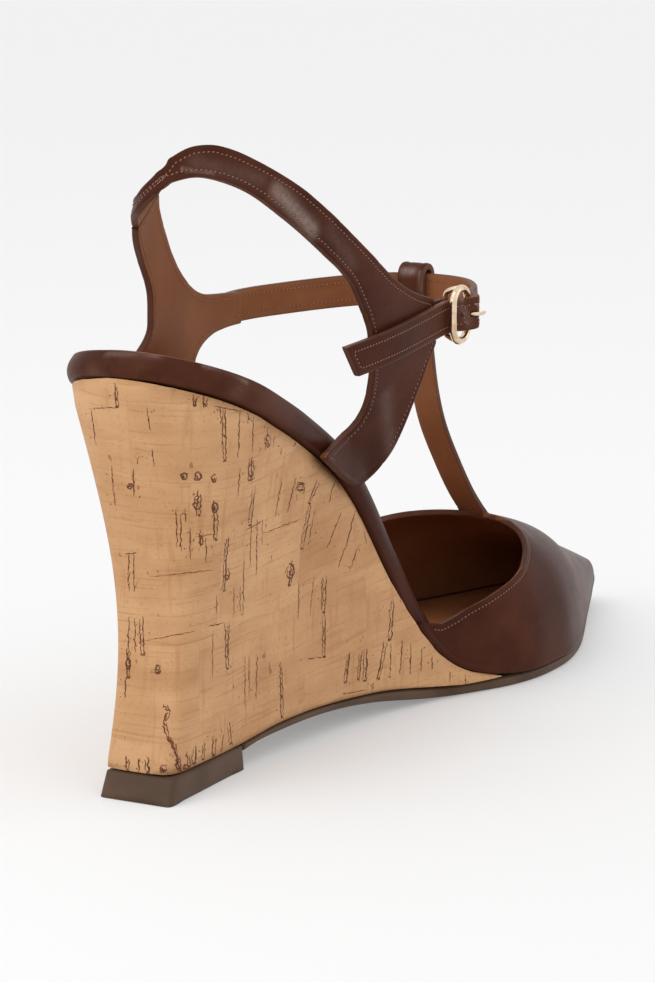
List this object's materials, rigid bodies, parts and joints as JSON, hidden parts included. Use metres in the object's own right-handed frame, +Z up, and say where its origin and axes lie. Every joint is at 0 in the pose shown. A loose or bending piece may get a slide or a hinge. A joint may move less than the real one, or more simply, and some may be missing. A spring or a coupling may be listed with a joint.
{
  "type": "wedge pump",
  "caption": "Right pointed-toe wedge pump with a T-strap, buckled ankle strap and heel strap in brown leather on a high cork wedge.",
  "frame": {"origin": "on the rest face of the top lift, under the middle of the heel, on the floor", "axes": "+X from heel to toe, +Y toward the medial side, +Z up; the floor is z = 0"},
  "size_m": [0.2419, 0.0746, 0.1447],
  "materials": {
    "leather": "semi-gloss smooth",
    "lining_leather": "matt",
    "cork": "matt",
    "rubber": "matt",
    "pale_gold": "polished"
  },
  "bodies": {
    "root": {"top_lift": "rubber", "outsole": "rubber", "wedge": "cork", "footbed": "leather", "sock_lining": "lining_leather", "vamp": "leather", "lateral_quarter": "leather", "medial_quarter": "leather", "ankle_strap": "leather", "buckle_tab": "leather", "buckle_frame": "pale_gold", "buckle_prong": "pale_gold"}
  },
  "joints": []
}
